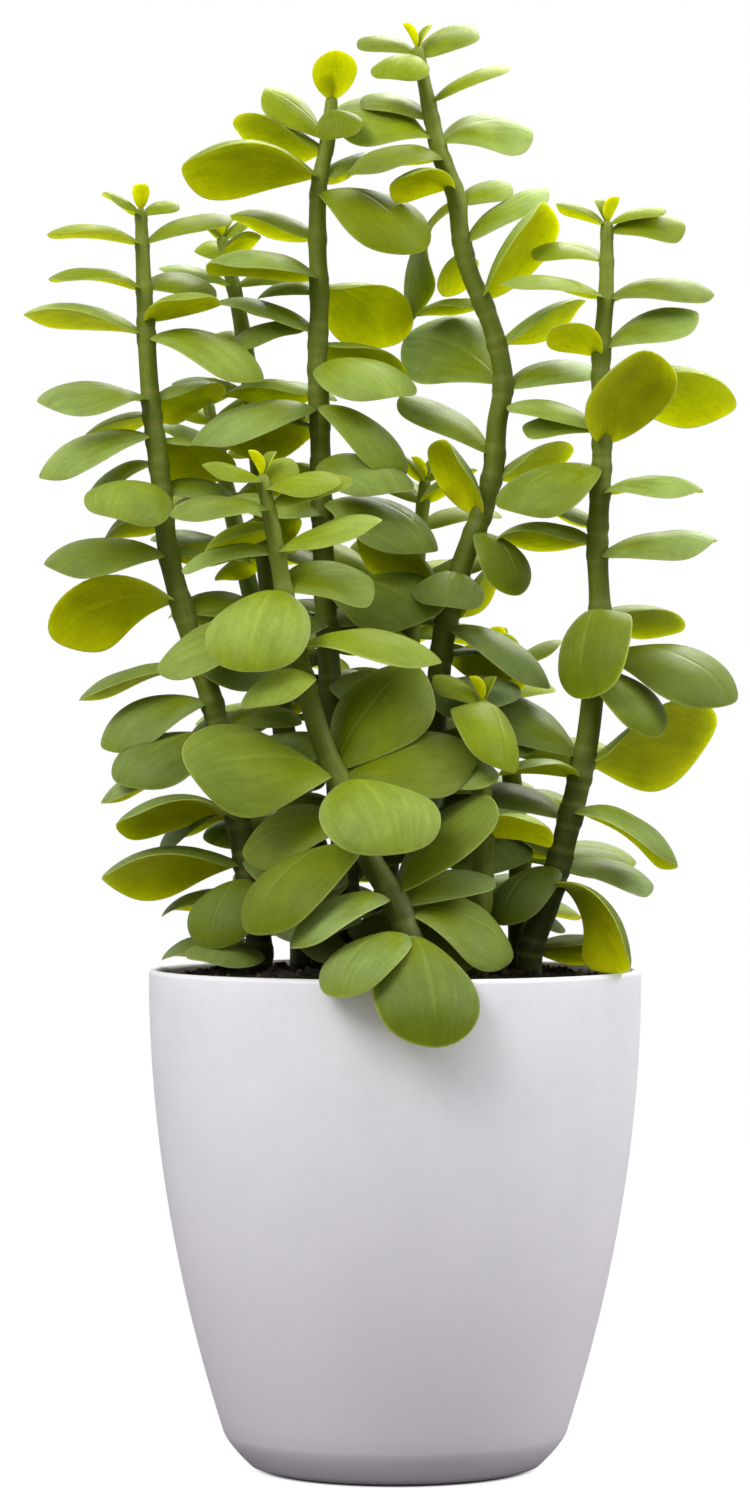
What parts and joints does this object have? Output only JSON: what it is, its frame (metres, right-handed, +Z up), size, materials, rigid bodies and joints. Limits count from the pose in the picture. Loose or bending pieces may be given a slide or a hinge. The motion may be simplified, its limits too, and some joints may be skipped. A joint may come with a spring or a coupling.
{
  "type": "potted jade plant",
  "caption": "Bushy jade plant with broad flat leaves in opposite pairs on upright stems, growing from the soil of a tapered round pot.",
  "frame": {"origin": "centre of the pot's foot, on the surface that it stands on", "axes": "+Z up along the pot's axis, -Y towards the viewer of the picture, +X to that viewer's right"},
  "size_m": [0.1723, 0.1463, 0.354],
  "materials": {
    "pot": "smooth satin white",
    "soil": "dark crumbly soil",
    "foliage": "satin fleshy green leaf"
  },
  "bodies": {
    "root": {"pot": "pot", "soil": "soil", "front_stem": "foliage", "right_stem": "foliage", "left_stem": "foliage", "tall_left_stem": "foliage", "tallest_stem": "foliage", "low_right_stem": "foliage", "middle_stem": "foliage", "left_back_stem": "foliage", "back_left_stem": "foliage", "back_right_stem": "foliage", "back_middle_stem": "foliage"}
  },
  "joints": []
}
